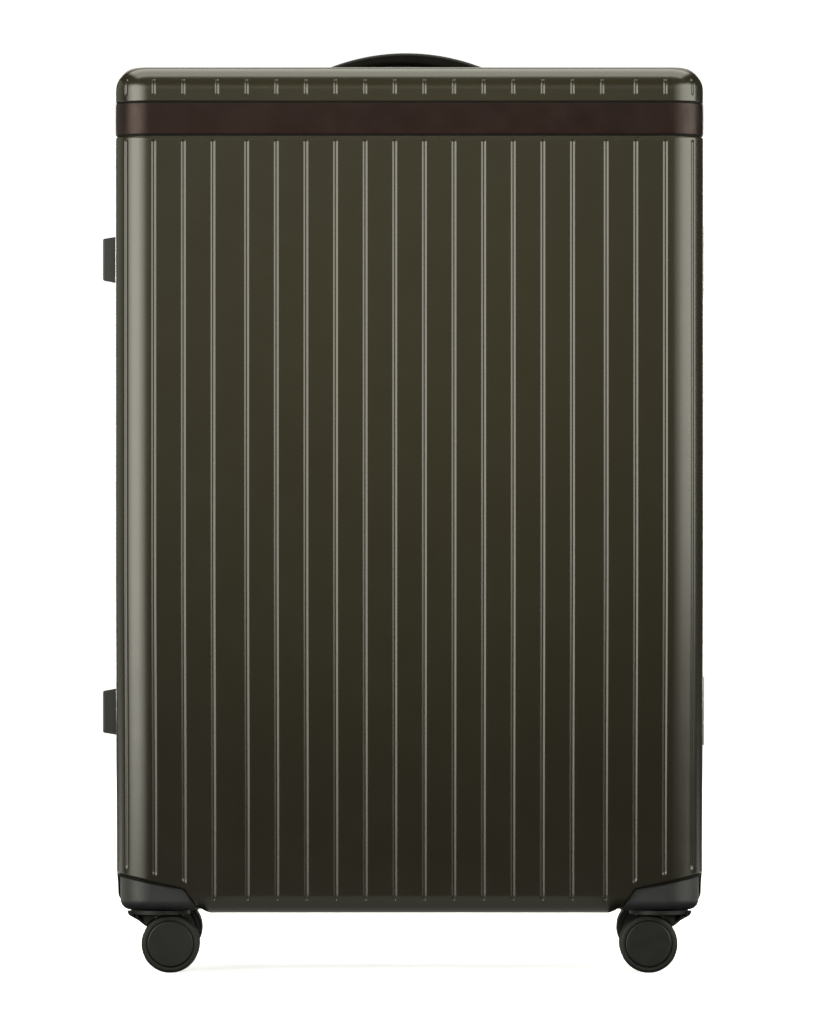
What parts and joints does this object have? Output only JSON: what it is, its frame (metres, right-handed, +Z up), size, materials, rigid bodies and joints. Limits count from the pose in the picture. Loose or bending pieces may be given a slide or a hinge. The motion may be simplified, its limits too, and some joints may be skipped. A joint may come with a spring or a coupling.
{
  "type": "spinner suitcase",
  "caption": "Hard-sided upright suitcase with grooved half shells, leather band, hinged frame, side latches, telescopic trolley and swivel casters.",
  "frame": {"origin": "middle of the bounding box on the floor, under the case", "axes": "+Z up, -Y toward the front half that the picture shows, +X to the right of that front, where the hinges are"},
  "size_m": [0.5275, 0.32, 0.803],
  "materials": {
    "shell": "satin olive polycarbonate",
    "band_leather": "dark brown leather, fine grain",
    "frame_alloy": "dark anodised alloy",
    "seal_rubber": "matte rubber",
    "corner_moulding": "fine texture, dark grey",
    "pin_steel": "ground steel",
    "screw_steel": "blackened steel",
    "hinge_steel": "dark brushed steel",
    "latch_moulding": "fine texture, dark grey",
    "lever_metal": "dark satin coating",
    "dial_moulding": "black with white numbers",
    "tube_alloy": "dark anodised alloy",
    "tray_moulding": "black, fine texture",
    "grip_moulding": "black, soft touch",
    "button_moulding": "dark grey",
    "handle_leather": "dark brown leather",
    "mount_moulding": "black, fine texture",
    "lining_fabric": "woven twill",
    "pocket_mesh": "open mesh",
    "strap_webbing": "ribbed webbing",
    "buckle_moulding": "black",
    "caster_moulding": "black, fine texture",
    "tyre_rubber": "matte black",
    "hub_moulding": "dark grey, fine texture"
  },
  "bodies": {
    "rear_half": {"rear_shell": "shell", "rear_frame": "frame_alloy", "rear_band": "band_leather", "rear_corners": "corner_moulding", "rear_kingpins": "pin_steel", "rear_screws": "screw_steel", "rear_hinge_leaves": "hinge_steel", "pivot_pins": "pin_steel", "latch_bases": "latch_moulding", "trolley_sleeves": "tube_alloy", "trolley_tray": "tray_moulding", "trolley_feet": "tray_moulding", "trolley_cover": "lining_fabric", "top_handle_mounts": "mount_moulding", "side_handle_mounts": "mount_moulding", "rear_lining": "lining_fabric", "packing_straps": "strap_webbing", "strap_buckles": "buckle_moulding"},
    "front_half": {"front_shell": "shell", "front_frame": "frame_alloy", "front_band": "band_leather", "front_corners": "corner_moulding", "front_kingpins": "pin_steel", "front_screws": "screw_steel", "front_hinge_leaves": "hinge_steel", "latch_strikes": "latch_moulding", "frame_seal": "seal_rubber", "front_lining": "lining_fabric", "front_pocket": "pocket_mesh"},
    "trolley_mid": {"trolley_mid_tubes": "tube_alloy"},
    "trolley_top": {"trolley_inner_tubes": "tube_alloy", "trolley_grip": "grip_moulding"},
    "release_button": {"trolley_button": "button_moulding"},
    "carry_handle": {"top_handle": "handle_leather"},
    "grab_handle": {"side_handle": "handle_leather"},
    "upper_lever": {"upper_latch_lever": "lever_metal"},
    "lower_lever": {"lower_latch_lever": "lever_metal"},
    "upper_wheel_a": {"upper_dial_a": "dial_moulding"},
    "upper_wheel_b": {"upper_dial_b": "dial_moulding"},
    "upper_wheel_c": {"upper_dial_c": "dial_moulding"},
    "lower_wheel_a": {"lower_dial_a": "dial_moulding"},
    "lower_wheel_b": {"lower_dial_b": "dial_moulding"},
    "lower_wheel_c": {"lower_dial_c": "dial_moulding"},
    "swivel_fl": {"caster_fl_fork": "caster_moulding", "caster_fl_axle": "pin_steel"},
    "wheels_fl": {"caster_fl_tyres": "tyre_rubber", "caster_fl_hubs": "hub_moulding"},
    "swivel_fr": {"caster_fr_fork": "caster_moulding", "caster_fr_axle": "pin_steel"},
    "wheels_fr": {"caster_fr_tyres": "tyre_rubber", "caster_fr_hubs": "hub_moulding"},
    "swivel_rl": {"caster_rl_fork": "caster_moulding", "caster_rl_axle": "pin_steel"},
    "wheels_rl": {"caster_rl_tyres": "tyre_rubber", "caster_rl_hubs": "hub_moulding"},
    "swivel_rr": {"caster_rr_fork": "caster_moulding", "caster_rr_axle": "pin_steel"},
    "wheels_rr": {"caster_rr_tyres": "tyre_rubber", "caster_rr_hubs": "hub_moulding"}
  },
  "joints": [
    {"name": "case_open", "type": "hinge", "parent": "rear_half", "child": "front_half", "pos_m": [0.2611, 0, 0.42], "axis": [0, 0, 1], "range_deg": [0, 180]},
    {"name": "trolley_stage_1", "type": "slide", "parent": "rear_half", "child": "trolley_mid", "axis": [0, 0, 1], "range_m": [0, 0.15]},
    {"name": "trolley_stage_2", "type": "slide", "parent": "trolley_mid", "child": "trolley_top", "axis": [0, 0, 1], "range_m": [0, 0.15]},
    {"name": "trolley_release", "type": "slide", "parent": "trolley_top", "child": "release_button", "axis": [0, 0, -1], "range_m": [0, 0.0025], "stiffness_N_per_m": 600},
    {"name": "top_handle_lift", "type": "slide", "parent": "rear_half", "child": "carry_handle", "axis": [0, 0, 1], "range_m": [0, 0.012]},
    {"name": "side_handle_pull", "type": "slide", "parent": "rear_half", "child": "grab_handle", "axis": [-1, 0, 0], "range_m": [0, 0.01]},
    {"name": "upper_latch", "type": "hinge", "parent": "rear_half", "child": "upper_lever", "pos_m": [-0.2563, 0.0145, 0.618], "axis": [0, 0, -1], "range_deg": [0, 80]},
    {"name": "lower_latch", "type": "hinge", "parent": "rear_half", "child": "lower_lever", "pos_m": [-0.2563, 0.0145, 0.222], "axis": [0, 0, -1], "range_deg": [0, 80]},
    {"name": "upper_dial_a_turn", "type": "hinge", "parent": "rear_half", "child": "upper_wheel_a", "pos_m": [-0.2563, 0.034, 0.609], "axis": [0, 0, 1], "continuous": true},
    {"name": "upper_dial_b_turn", "type": "hinge", "parent": "rear_half", "child": "upper_wheel_b", "pos_m": [-0.2563, 0.034, 0.618], "axis": [0, 0, 1], "continuous": true},
    {"name": "upper_dial_c_turn", "type": "hinge", "parent": "rear_half", "child": "upper_wheel_c", "pos_m": [-0.2563, 0.034, 0.627], "axis": [0, 0, 1], "continuous": true},
    {"name": "lower_dial_a_turn", "type": "hinge", "parent": "rear_half", "child": "lower_wheel_a", "pos_m": [-0.2563, 0.034, 0.213], "axis": [0, 0, 1], "continuous": true},
    {"name": "lower_dial_b_turn", "type": "hinge", "parent": "rear_half", "child": "lower_wheel_b", "pos_m": [-0.2563, 0.034, 0.222], "axis": [0, 0, 1], "continuous": true},
    {"name": "lower_dial_c_turn", "type": "hinge", "parent": "rear_half", "child": "lower_wheel_c", "pos_m": [-0.2563, 0.034, 0.231], "axis": [0, 0, 1], "continuous": true},
    {"name": "swivel_fl_turn", "type": "hinge", "parent": "front_half", "child": "swivel_fl", "pos_m": [-0.2103, -0.126, 0.052], "axis": [0, 0, 1], "continuous": true},
    {"name": "wheels_fl_roll", "type": "hinge", "parent": "swivel_fl", "child": "wheels_fl", "pos_m": [-0.2013, -0.126, 0.025], "axis": [0, 1, 0], "continuous": true},
    {"name": "swivel_fr_turn", "type": "hinge", "parent": "front_half", "child": "swivel_fr", "pos_m": [0.2197, -0.126, 0.052], "axis": [0, 0, 1], "continuous": true},
    {"name": "wheels_fr_roll", "type": "hinge", "parent": "swivel_fr", "child": "wheels_fr", "pos_m": [0.2107, -0.126, 0.025], "axis": [0, 1, 0], "continuous": true},
    {"name": "swivel_rl_turn", "type": "hinge", "parent": "rear_half", "child": "swivel_rl", "pos_m": [-0.2148, 0.126, 0.052], "axis": [0, 0, 1], "continuous": true},
    {"name": "wheels_rl_roll", "type": "hinge", "parent": "swivel_rl", "child": "wheels_rl", "pos_m": [-0.2058, 0.126, 0.025], "axis": [0, 1, 0], "continuous": true},
    {"name": "swivel_rr_turn", "type": "hinge", "parent": "rear_half", "child": "swivel_rr", "pos_m": [0.2242, 0.126, 0.052], "axis": [0, 0, 1], "continuous": true},
    {"name": "wheels_rr_roll", "type": "hinge", "parent": "swivel_rr", "child": "wheels_rr", "pos_m": [0.2152, 0.126, 0.025], "axis": [0, 1, 0], "continuous": true}
  ]
}
